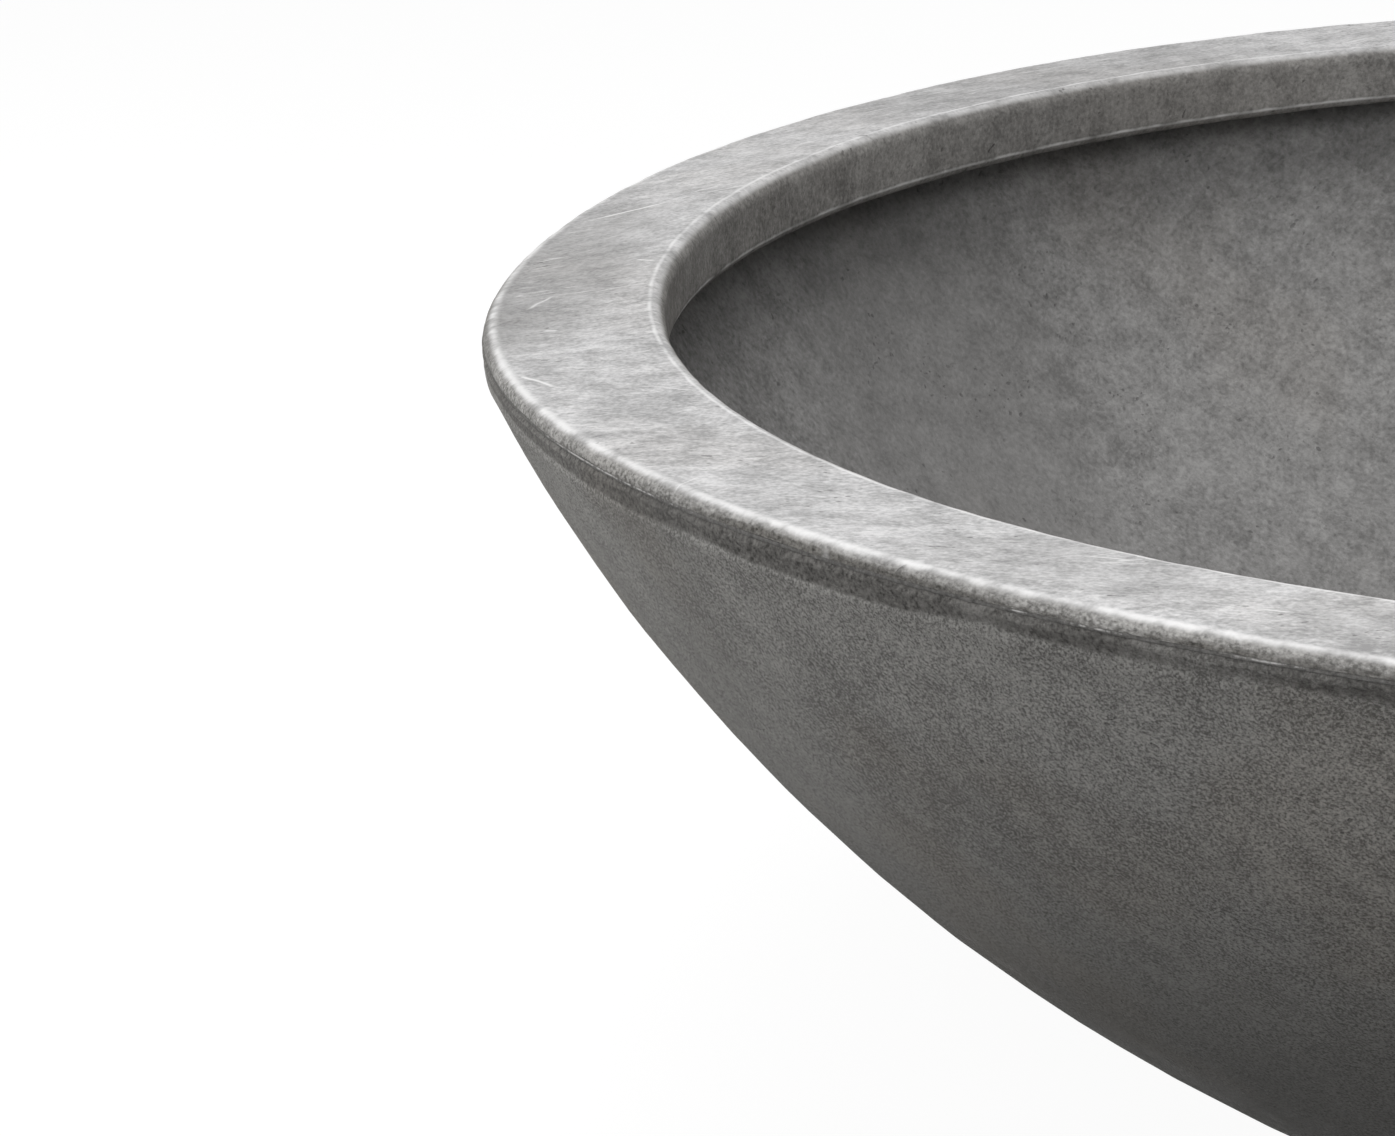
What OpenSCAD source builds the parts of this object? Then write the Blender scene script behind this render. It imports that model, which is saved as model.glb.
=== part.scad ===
// Large low bowl planter, cast in cement: a curved shell on a flat foot, and a wide flat rim
// that is cast by itself and bedded on the shell's edge over a steel hoop.
// Millimetres, +Z up. The origin is on the floor, under the middle of the bowl.

/* [Overall] */
// Outside diameter at the joint line, the widest place
rim_d = 1220; // [900:10:1400]
// Height from the floor to the highest line of the rim
overall_h = 381; // [340:1:460]

/* [Rim] */
// Width of the rim, from its outside to the face of the apron
rim_w = 76; // [60:1:110]
// How far the top falls outwards, so that water runs off
top_fall = 2.5; // [0:0.5:5]
// Radius of the rolled outer edge
rim_edge_r = 7; // [4:0.5:9]
// Radius of the inner top edge
rim_lip_r = 7; // [3:0.5:9]
// Thickness of the flat between the apron and the wall
flange_t = 16; // [14:0.5:22]
// Drop of the apron below the rim's highest line
apron_h = 30; // [26:1:60]
// Thickness of the apron
apron_t = 18; // [14:1:26]
// Radius of the apron's two bottom edges
apron_edge_r = 6; // [2:0.5:6.5]
// Radius of the hollow between the apron and the flat
flange_fillet_r = 8; // [2:0.5:9]

/* [Joint between rim and shell] */
// Thickness of the mortar bed
mortar_t = 1.5; // [1:0.25:4]
// How far the mortar stands proud of the rim's edge
mortar_proud = 0.6; // [0.2:0.1:1.5]
// Gap between the rim's locating step and the inside of the wall
step_gap = 0.8; // [0.3:0.1:2]
// Diameter of the steel rod in the hoop
hoop_rod_d = 6; // [4:0.5:8]
// Gap round the rod in its groove
hoop_gap = 0.2; // [0.1:0.05:0.5]

/* [Shell] */
// Thickness of the wall at its top, square to the wall
wall_t = 16; // [12:0.5:22]
// Lean of the wall from upright, just under the rim
wall_lean = 25.7; // [15:0.1:35]
// How far the wall starts inside the widest line
wall_inset = 5.5; // [4:0.5:9]
// Height of the cove between the joint and the wall
cove_h = 7; // [4:0.5:12]
// Diameter of the flat foot
foot_d = 400; // [320:5:480]
// Thickness of the floor, measured from the foot
floor_t = 28; // [22:1:40]
// How far the inside floor is smaller than the foot, on each side
floor_inset = 14; // [5:1:30]
// Fall of the inside floor towards the drain
floor_fall = 3; // [0:0.5:6]
// Length of the soft bend between floor and wall
floor_blend = 45; // [20:1:80]
// Height of the foot's upright edge
foot_edge_h = 4; // [3:0.5:10]
// Chamfer round the foot
foot_chamfer = 2.5; // [1:0.5:3]
// Width of the ring that the foot stands on
foot_ring_w = 52; // [48:1:70]
// Depth of the hollow inside the foot ring
foot_recess = 6; // [2:0.5:10]

/* [Drain] */
// Outside diameter of the drain sleeve
sleeve_d = 38; // [32:1:50]
// Wall of the drain sleeve
sleeve_wall = 3; // [2:0.25:4]
// Width of the sleeve's flange beyond its tube
sleeve_flange_w = 11; // [9:0.5:16]
// Thickness of the sleeve's flange
sleeve_flange_t = 3; // [2:0.25:5]
// How far the sleeve reaches below the hollow of the foot
sleeve_drip = 3; // [1:0.5:4]
// Gap between the sleeve and the cast floor
sleeve_gap = 0.4; // [0.1:0.1:0.8]
// Gap between the plug's ribs and the sleeve
plug_gap = 0.3; // [0.1:0.05:0.6]
// How far the plug's two sealing ribs stand out
plug_rib = 0.7; // [0.3:0.1:1.2]
// Length of the plug below its head
plug_l = 22; // [16:1:24]
// Thickness of the plug's head
plug_head_t = 4; // [3:0.5:7]
// How far the plug's head overlaps the sleeve's flange
plug_head_lap = 7; // [4:0.5:9]
// Height of the knob that lifts the plug
knob_h = 18; // [14:1:26]
// Diameter of the knob
knob_d = 18; // [14:1:24]

/* [Pads] */
// Number of rubber pads under the foot
pad_count = 4; // [3:1:6]
// Diameter of a pad
pad_d = 40; // [25:1:44]
// Height that the pads hold the foot above the floor
pad_stand = 6; // [3:0.5:12]
// Depth of a pad's seat in the foot
pad_seat = 2; // [1:0.5:3]
// Gap round a pad in its seat
pad_gap = 0.3; // [0.1:0.1:0.6]
// Rounding of a pad's bottom edge
pad_edge_r = 2; // [0.5:0.5:3]

/* [Hidden] */
$fn = 180;

cement = [0.50, 0.50, 0.49];
rim_cement = [0.66, 0.66, 0.65];
mortar_grey = [0.76, 0.75, 0.73];
zinc = [0.62, 0.64, 0.66];
pipe_grey = [0.27, 0.28, 0.29];
rubber_black = [0.10, 0.10, 0.10];

// Steps that draw a small rounded edge, a long wall curve and a soft bend
edge_steps = 10;
wall_steps = 44;
bend_steps = 12;

// Rim, from the outside in
rim_r = rim_d / 2;
rim_out_r = rim_r - mortar_proud;
rim_in_r = rim_r - rim_w;
apron_back_r = rim_in_r + apron_t;
rim_bed_z = overall_h - top_fall - rim_edge_r;
flange_z = overall_h - flange_t;
apron_z = overall_h - apron_h;

// Shell, from the joint down
shell_top_z = rim_bed_z - mortar_t;
shell_top_r = rim_out_r - mortar_proud;
wall_start = [rim_r - wall_inset, shell_top_z - cove_h];
wall_in_r = wall_start.x + cove_h * tan(wall_lean) - wall_t / cos(wall_lean);
foot_r = foot_d / 2;
foot_z = pad_stand;
wall_end = [foot_r, foot_z + foot_edge_h];
floor_r = foot_r - floor_inset;
floor_z = foot_z + floor_t;
drain_top_z = floor_z - floor_fall;
recess_z = foot_z + foot_recess;
recess_r = foot_r - foot_ring_w;

// Hoop, in the middle of the joint
hoop_r = (wall_in_r + shell_top_r) / 2;
hoop_z = (rim_bed_z + shell_top_z) / 2;
groove_r = hoop_rod_d / 2 + hoop_gap;
groove_half = asin(mortar_t / 2 / groove_r);

// Drain
sleeve_r = sleeve_d / 2;
sleeve_bore_r = sleeve_r - sleeve_wall;
flange_r = sleeve_r + sleeve_flange_w;
flange_seat_r = flange_r + sleeve_gap;
flange_seat_z = drain_top_z - sleeve_flange_t;
plug_rib_r = sleeve_bore_r - plug_gap;
plug_body_r = plug_rib_r - plug_rib;

// Pads
pad_r = pad_d / 2;
pad_ring_r = foot_r - foot_ring_w / 2;

// Points of an arc round a centre, from one angle to another
function arc(c, r, a0, a1, steps) =
    [for (i = [0:steps]) let (a = a0 + (a1 - a0) * i / steps) c + r * [cos(a), sin(a)]];

// Points of a soft bend from p0 to p2, drawn towards p1, without its two ends
function bend(p0, p1, p2, steps) =
    [for (i = [1:steps - 1]) let (t = i / steps)
        (1 - t) * (1 - t) * p0 + 2 * t * (1 - t) * p1 + t * t * p2];

// Radius and centre of the circle that leaves p0 at a lean from upright and passes through p1
function lean_normal(lean) = [-cos(lean), sin(lean)];
function lean_radius(p0, p1, lean) = ((p1 - p0) * (p1 - p0)) / (2 * (p1 - p0) * lean_normal(lean));
function lean_centre(p0, p1, lean) = p0 + lean_radius(p0, p1, lean) * lean_normal(lean);
function angle_of(c, p) = atan2(p.y - c.y, p.x - c.x);

// Points down a leaning wall curve from p0 to p1, stopping short of p1 by a length along it
function wall_curve(p0, p1, lean, short) =
    let (c = lean_centre(p0, p1, lean), r = lean_radius(p0, p1, lean))
    arc(c, r, angle_of(c, p0), angle_of(c, p1) + short / r * 180 / PI, wall_steps);

// Half section of the cast shell: outside wall, top edge with its groove, inside wall, floor and foot
module shell_section() {
    outside = wall_curve(wall_start, wall_end, wall_lean, 0);
    inside_top = [wall_in_r, shell_top_z];
    inside = wall_curve(inside_top, [floor_r, floor_z], wall_lean, floor_blend);
    floor_in = [floor_r - floor_blend, floor_z - floor_fall * floor_blend / (floor_r - flange_seat_r)];
    cove_top = [shell_top_r, shell_top_z - mortar_t];
    polygon(concat(
        [[shell_top_r, shell_top_z], cove_top],
        bend(cove_top, wall_start + [cove_h / 3 * tan(wall_lean), cove_h / 3], wall_start, bend_steps),
        outside,
        [[foot_r, foot_z + foot_chamfer], [foot_r - foot_chamfer, foot_z]],
        [[recess_r, foot_z], [recess_r - foot_recess, recess_z]],
        [[sleeve_r + sleeve_gap, recess_z], [sleeve_r + sleeve_gap, flange_seat_z]],
        [[flange_seat_r, flange_seat_z], [flange_seat_r, drain_top_z], floor_in],
        bend(floor_in, [floor_r, floor_z], inside[wall_steps], bend_steps),
        [for (i = [0:wall_steps]) inside[wall_steps - i]],
        arc([hoop_r, hoop_z], groove_r, 180 + groove_half, 360 - groove_half, edge_steps)
    ));
}

// Half section of the rim: rolled edge, falling top, apron, hollow, locating step and hoop groove
module rim_section() {
    step_r = wall_in_r - step_gap;
    step_lean = (rim_bed_z - flange_z) * tan(wall_lean);
    polygon(concat(
        arc([rim_out_r - rim_edge_r, rim_bed_z], rim_edge_r, 0, 90, edge_steps),
        arc([rim_in_r + rim_lip_r, overall_h - rim_lip_r], rim_lip_r, 90, 180, edge_steps),
        arc([rim_in_r + apron_edge_r, apron_z + apron_edge_r], apron_edge_r, 180, 270, edge_steps),
        arc([apron_back_r - apron_edge_r, apron_z + apron_edge_r], apron_edge_r, 270, 360, edge_steps),
        arc([apron_back_r + flange_fillet_r, flange_z - flange_fillet_r], flange_fillet_r, 180, 90,
            edge_steps),
        [[step_r - step_lean, flange_z], [step_r, rim_bed_z]],
        arc([hoop_r, hoop_z], groove_r, 180 - groove_half, groove_half, edge_steps)
    ));
}

// Half section of the mortar bed between the two castings, with the hoop's groove left open
module mortar_section() {
    bead_r = mortar_t / 2;
    translate([wall_in_r, shell_top_z]) square([hoop_r - groove_r - wall_in_r, mortar_t]);
    polygon(concat(
        [[hoop_r + groove_r, shell_top_z]],
        arc([rim_r - bead_r, hoop_z], bead_r, -90, 90, edge_steps),
        [[hoop_r + groove_r, rim_bed_z]]
    ));
}

module bowl_shell() {
    color(cement)
    difference() {
        rotate_extrude() shell_section();
        for (i = [0:pad_count - 1])
            rotate([0, 0, (i + 0.5) * 360 / pad_count])
            translate([pad_ring_r, 0, foot_z - pad_seat]) cylinder(r = pad_r + pad_gap, h = 2 * pad_seat);
    }
}

module rim_ring() {
    color(rim_cement) rotate_extrude() rim_section();
}

module joint_mortar() {
    color(mortar_grey) rotate_extrude() mortar_section();
}

module rim_hoop() {
    color(zinc) rotate_extrude() translate([hoop_r, hoop_z]) circle(d = hoop_rod_d, $fn = 48);
}

// Flanged tube cast into the floor, with a chamfered mouth and a drip edge below
module drain_sleeve() {
    mouth = sleeve_wall / 2;
    foot_end = recess_z - sleeve_drip;
    color(pipe_grey)
    rotate_extrude()
    polygon([
        [sleeve_bore_r + mouth, drain_top_z],
        [flange_r, drain_top_z],
        [flange_r, flange_seat_z],
        [sleeve_r, flange_seat_z],
        [sleeve_r, foot_end + mouth],
        [sleeve_r - mouth / 2, foot_end],
        [sleeve_bore_r, foot_end],
        [sleeve_bore_r, drain_top_z - mouth]
    ]);
}

// Rubber bung: head on the sleeve's flange, body with two sealing ribs, and a waisted knob to lift it
module drain_plug() {
    head_r = sleeve_bore_r + sleeve_wall / 2 + plug_head_lap;
    head_top = drain_top_z + plug_head_t;
    head_edge_r = plug_head_t * 0.6;
    tip_z = drain_top_z - plug_l;
    tip_chamfer = 2;
    rib_half = 1.6;
    rib_heights = drain_top_z * [1, 1] - plug_l * [0.7, 0.35];
    knob_r = knob_d / 2;
    knob_half_h = knob_r * 0.7;
    knob_z = head_top + knob_h - knob_half_h;
    knob_low = -40;
    waist = [knob_r * 0.55, head_top + knob_h * 0.4];
    color(rubber_black)
    rotate_extrude()
    polygon(concat(
        [[0, tip_z], [plug_body_r - tip_chamfer, tip_z], [plug_body_r, tip_z + tip_chamfer]],
        [for (z = rib_heights) each [
            [plug_body_r, z - rib_half],
            [plug_rib_r, z - rib_half / 2],
            [plug_rib_r, z + rib_half / 2],
            [plug_body_r, z + rib_half]
        ]],
        [[plug_body_r, drain_top_z], [head_r, drain_top_z]],
        arc([head_r, head_top] - head_edge_r * [1, 1], head_edge_r, 0, 90, edge_steps),
        bend([head_r - plug_head_t, head_top], [waist.x, head_top], waist, bend_steps),
        [waist],
        [for (i = [0:edge_steps]) let (a = knob_low + (90 - knob_low) * i / edge_steps)
            [max(0, knob_r * cos(a)), knob_z + knob_half_h * sin(a)]]
    ));
}

// Rubber discs bonded in seats in the foot ring
module foot_pads() {
    color(rubber_black)
    for (i = [0:pad_count - 1])
        rotate([0, 0, (i + 0.5) * 360 / pad_count])
        translate([pad_ring_r, 0, 0])
        rotate_extrude($fn = 72)
        polygon(concat(
            [[0, 0]],
            arc([pad_r - pad_edge_r, pad_edge_r], pad_edge_r, 270, 360, edge_steps),
            [[pad_r, foot_z + pad_seat], [0, foot_z + pad_seat]]
        ));
}

bowl_shell();
rim_ring();
joint_mortar();
rim_hoop();
drain_sleeve();
drain_plug();
foot_pads();
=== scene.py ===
"""Looks of a large low bowl planter cast in cement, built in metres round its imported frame.

The rim and the shell are cast and finished by hand, so both are drawn as sections swept round the
bowl and then pushed a little out of true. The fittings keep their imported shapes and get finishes.
"""

import logging
import math
from dataclasses import dataclass, field, replace
from enum import Enum
from typing import Any

import bpy
import numpy as np
from mathutils import Matrix, Vector, noise


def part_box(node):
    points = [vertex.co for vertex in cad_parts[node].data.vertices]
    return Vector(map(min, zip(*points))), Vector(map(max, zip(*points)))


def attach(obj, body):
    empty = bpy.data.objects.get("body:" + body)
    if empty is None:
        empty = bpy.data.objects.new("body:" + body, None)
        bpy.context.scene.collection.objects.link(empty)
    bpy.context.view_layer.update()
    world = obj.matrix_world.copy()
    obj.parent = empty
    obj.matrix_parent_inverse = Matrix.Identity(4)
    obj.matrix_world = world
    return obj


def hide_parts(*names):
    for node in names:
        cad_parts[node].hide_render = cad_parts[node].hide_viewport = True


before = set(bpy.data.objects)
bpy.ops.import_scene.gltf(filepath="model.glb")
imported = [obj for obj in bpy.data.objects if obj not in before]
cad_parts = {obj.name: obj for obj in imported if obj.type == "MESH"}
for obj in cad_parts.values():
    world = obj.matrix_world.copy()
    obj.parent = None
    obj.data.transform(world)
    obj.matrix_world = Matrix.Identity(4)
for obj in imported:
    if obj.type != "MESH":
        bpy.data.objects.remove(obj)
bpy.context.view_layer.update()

log = logging.getLogger("planter")

MM = 0.001
TURN = 2 * math.pi

# Names of the numbers that are stored on the meshes' points.
RUN = "run"
PROUD = "proud"
# The depth of painted shade in the band along the joint under the rim is stored under this name.
JOINT_SHADE = "joint_shade"

# The rays that see plain white surroundings.
SEEN_BY = ("Camera", "Glossy", "Transmission")

# Faces that meet at more than this angle have a sharp edge between them.
SHARP_ANGLE = math.radians(40)

# How the strokes on the rim's top and on the wall are turned, in degrees, and how the first bend:
# their slope in the middle, and how fast it grows away from there.
TROWEL_TURN = 14.0
TROWEL_BEND = (0.3, 1.4, 1.6)
SLANT_TURN = (0, 42, -12)

# The radius at which upright strokes are counted.
STROKE_R = 0.6

# The gloss of dusty cement.
DUST = 0.05

Array = np.ndarray
Material = bpy.types.Material
Object = bpy.types.Object
Socket = bpy.types.NodeSocket
Spot = tuple[float, float]
Section = list[Spot]
Triple = tuple[float, float, float]
Colour = Triple


class Stroke(Enum):
    """The way that a hand or a board was drawn over the cement."""

    DRAWN = "drawn"
    UPRIGHT = "upright"
    SLANTED = "slanted"


class Value:
    """A number in a material. Sums written on it in Python add Math nodes."""

    def __init__(self, nodes: "Nodes", socket: Socket) -> None:
        """Wraps the output socket that gives the number, and keeps the nodes it belongs to."""
        self.nodes = nodes
        self.socket = socket

    def __add__(self, other: "Number") -> "Value":
        """Sum."""
        return self.nodes.maths("ADD", self, other)

    def __sub__(self, other: "Number") -> "Value":
        """Difference."""
        return self.nodes.maths("SUBTRACT", self, other)

    def __rsub__(self, other: "Number") -> "Value":
        """Difference from a plain number."""
        return self.nodes.maths("SUBTRACT", other, self)

    def __mul__(self, other: "Number") -> "Value":
        """Product."""
        return self.nodes.maths("MULTIPLY", self, other)

    def __truediv__(self, other: "Number") -> "Value":
        """Quotient."""
        return self.nodes.maths("DIVIDE", self, other)

    def __rtruediv__(self, other: "Number") -> "Value":
        """Quotient of a plain number."""
        return self.nodes.maths("DIVIDE", other, self)

    def __abs__(self) -> "Value":
        """Size without its sign."""
        return self.nodes.maths("ABSOLUTE", self)

    __radd__ = __add__
    __rmul__ = __mul__

    def clamped(self) -> "Value":
        """The number held between 0 and 1."""
        return self.nodes.maths("ADD", self, 0.0, clamp=True)

    def ramp(self, low: float, high: float) -> "Value":
        """A soft step from 0 at low to 1 at high, or the other way round where high is the lower.

        Args:
            low: Where the step is still 0.
            high: Where the step has reached 1.

        Returns:
            The step, smooth at both ends.
        """
        ends = {"From Min": min(low, high), "From Max": max(low, high)}
        settings = {"interpolation_type": "SMOOTHSTEP"}
        step = self.nodes.node("MapRange", settings, {"Value": self, **ends})
        result = Value(self.nodes, step.outputs["Result"])
        return result if low < high else 1 - result

    def band(self, centre: float, half: float) -> "Value":
        """A soft hump that is 1 at centre and 0 beyond half on each side."""
        return abs(self - centre).ramp(half, 0.0)


Number = float | Value


@dataclass(frozen=True)
class Grain:
    """Soft noise: its spots in a metre, how many finer layers it has and how strong they are."""

    per_metre: float = 1.0
    detail: float = 2.0
    rough: float = 0.5


class Nodes:
    """The nodes of one material, or of the world."""

    def __init__(self, holder: Material | bpy.types.World) -> None:
        """Takes the nodes that a new material or world starts with."""
        holder.use_nodes = True
        self.tree = holder.node_tree

    def node(
        self,
        kind: str,
        settings: dict[str, Any] | None = None,
        inputs: dict[str | int, Any] | None = None,
    ) -> bpy.types.Node:
        """Adds a node.

        Args:
            kind: The node's type, without the words that all shader nodes' types begin with.
            settings: The node's own settings, which are set first.
            inputs: A value, a Value or an output socket for each named or numbered input.

        Returns:
            The new node.
        """
        made = self.tree.nodes.new("ShaderNode" + kind)
        for key, setting in (settings or {}).items():
            setattr(made, key, setting)
        for key, given in (inputs or {}).items():
            self.feed(made.inputs[key], given)
        return made

    def feed(self, socket: Socket, given: Any) -> None:
        """Links a socket to what feeds it, or sets its plain value.

        Args:
            socket: The input socket.
            given: A plain value, a Value or an output socket.
        """
        if isinstance(given, Value):
            given = given.socket
        if isinstance(given, Socket):
            self.tree.links.new(given, socket)
        else:
            socket.default_value = given

    def maths(self, operation: str, *terms: Number, clamp: bool = False) -> Value:
        """Adds a Math node.

        Args:
            operation: The node's operation.
            terms: Its inputs, in order.
            clamp: Whether the result is held between 0 and 1.

        Returns:
            The node's result.
        """
        settings = {"operation": operation, "use_clamp": clamp}
        made = self.node("Math", settings, dict(enumerate(terms)))
        return Value(self, made.outputs[0])

    def seen(self) -> Value:
        """1 for the rays that see plain white surroundings, and 0 for those that carry light."""
        path = self.node("LightPath")
        rays = [Value(self, path.outputs[f"Is {kind} Ray"]) for kind in SEEN_BY]
        return sum(rays[1:], rays[0]).clamped()


class Paint(Nodes):
    """One material and the nodes in it."""

    def __init__(self, name: str) -> None:
        """Starts a material, and reads the place on the surface and the length along the section.

        Args:
            name: The material's name.
        """
        self.material = bpy.data.materials.new(name)
        super().__init__(self.material)
        self.surface = self.tree.nodes["Principled BSDF"]
        self.place = self.node("TexCoord").outputs["Object"]
        self.run = self.attribute(RUN)

    def attribute(self, name: str) -> Value:
        """A number that is stored on the mesh's points."""
        made = self.node("Attribute", {"attribute_name": name})
        return Value(self, made.outputs["Fac"])

    def vector(self, operation: str, *terms: Any) -> Socket:
        """The vector that a Vector Math node gives."""
        made = self.node("VectorMath", {"operation": operation}, dict(enumerate(terms)))
        return made.outputs["Vector"]

    def parts(self, vector: Socket) -> tuple[Value, Value, Value]:
        """The three numbers in a vector."""
        made = self.node("SeparateXYZ", None, {0: vector})
        return tuple(Value(self, made.outputs[i]) for i in range(3))

    def joined(self, x: Number, y: Number, z: Number) -> Socket:
        """A vector of three numbers."""
        return self.node("CombineXYZ", None, {0: x, 1: y, 2: z}).outputs["Vector"]

    def turned(self, place: Socket, turn: Triple, per_metre: Triple) -> Socket:
        """Places turned by angles in degrees, then counted in lengths that differ along each axis.

        Args:
            place: The place on the surface.
            turn: The turn about X, Y and Z, in degrees.
            per_metre: How many lengths a metre holds along each turned axis.

        Returns:
            The new places.
        """
        angles = [math.radians(a) for a in turn]
        inputs = {"Vector": place, "Rotation": angles}
        rolled = self.node("VectorRotate", {"rotation_type": "EULER_XYZ"}, inputs)
        return self.vector("MULTIPLY", rolled.outputs["Vector"], per_metre)

    def noise(self, grain: Grain, place: Socket | None = None) -> Value:
        """Soft noise from 0 to 1.

        Args:
            grain: The noise's size and layers.
            place: The place to read it at, if not the place on the surface.

        Returns:
            The noise, with its middle at a half.
        """
        inputs = {
            "Vector": self.place if place is None else place,
            "Scale": grain.per_metre,
            "Detail": grain.detail,
            "Roughness": grain.rough,
        }
        return Value(self, self.node("TexNoise", None, inputs).outputs["Fac"])

    def uneven(self, grain: Grain, place: Socket | None = None) -> Value:
        """The same noise with its middle at 0."""
        return self.noise(grain, place) - 0.5

    def drift(self, per_metre: float, reach: float) -> Socket:
        """Places on the surface pushed about by slow noise, so that straight patterns wander.

        Args:
            per_metre: How many swings a metre holds.
            reach: How far a place is pushed.

        Returns:
            The pushed places.
        """
        inputs = {"Vector": self.place, "Scale": per_metre, "Detail": 1.0}
        push = self.node("TexNoise", None, inputs).outputs["Color"]
        centred = self.vector("SUBTRACT", push, (0.5, 0.5, 0.5))
        return self.vector("MULTIPLY_ADD", centred, (reach, reach, reach), self.place)

    def mix(self, share: Number, first: Any, second: Any) -> Socket:
        """A colour between two colours.

        Args:
            share: 0 for the first colour and 1 for the second.
            first: The first colour, or the socket that gives it.
            second: The second colour, or the socket that gives it.

        Returns:
            The mixed colour.
        """
        whole = [(*c, 1.0) if isinstance(c, tuple) else c for c in (first, second)]
        made = self.node("Mix", {"data_type": "RGBA"}, {0: share, 6: whole[0], 7: whole[1]})
        return made.outputs[2]

    def relief(self, height: Value) -> None:
        """Raises the surface by a height in metres, as fine relief."""
        made = self.node("Bump", None, {"Strength": 1.0, "Distance": 1.0, "Height": height})
        self.feed(self.surface.inputs["Normal"], made.outputs["Normal"])

    def finish(
        self, colour: Any, rough: Number, metal: float = 0.0, gloss: float = 0.5
    ) -> Material:
        """Gives the surface its look.

        Args:
            colour: The colour, or the socket that gives it.
            rough: The roughness.
            metal: 1 for bare metal, and 0 for the rest.
            gloss: The strength of the gloss, a half for plastic.

        Returns:
            The material.
        """
        self.surface.inputs["Specular IOR Level"].default_value = gloss
        self.feed(self.surface.inputs["Base Color"], colour)
        self.feed(self.surface.inputs["Roughness"], rough)
        self.surface.inputs["Metallic"].default_value = metal
        return self.material


@dataclass(frozen=True)
class Crease:
    """A thin pale line that the trowel left on top of the rim, from one place to another."""

    start: Spot
    end: Spot
    half: float = 1.6 * MM
    strength: float = 1.0

    def share(self, x: Value, y: Value) -> Value:
        """How much the crease shows at a place.

        Args:
            x: The place along X.
            y: The place along Y.

        Returns:
            The share, from 0 to the crease's strength, which fades at both ends.
        """
        along = Vector(self.end) - Vector(self.start)
        length = along.length
        along.normalize()
        ex = x - self.start[0]
        ey = y - self.start[1]
        far = abs(ex * -along.y + ey * along.x)
        span = (ex * along.x + ey * along.y) / length
        return far.ramp(self.half, 0.0) * (span.band(0.5, 0.6) * 2).clamped() * self.strength


@dataclass(frozen=True)
class DarkPatch:
    """A soft dark patch: its middle seen from above, its reach along X and Y and its depth."""

    middle: Spot
    reach: Spot
    depth: float

    def share(self, x: Value, y: Value) -> Value:
        """How dark the patch makes a place, from 0 to its depth."""
        dx = (x - self.middle[0]) / self.reach[0]
        dy = (y - self.middle[1]) / self.reach[1]
        return (dx * dx + dy * dy).ramp(1.0, 0.0) * self.depth


def trowelled(x: Value, y: Value) -> tuple[Value, Value]:
    """Measures a place by the bent strokes on top of the rim.

    Args:
        x: The place along X.
        y: The place along Y.

    Returns:
        How far the place lies along the strokes, and how far across them.
    """
    turn = math.radians(TROWEL_TURN)
    slope, growth, curl = TROWEL_BEND
    u = x * math.cos(turn) + y * math.sin(turn)
    w = y * math.cos(turn) - x * math.sin(turn)
    return u, w - u * (slope + w * (growth + w * curl))


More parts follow.
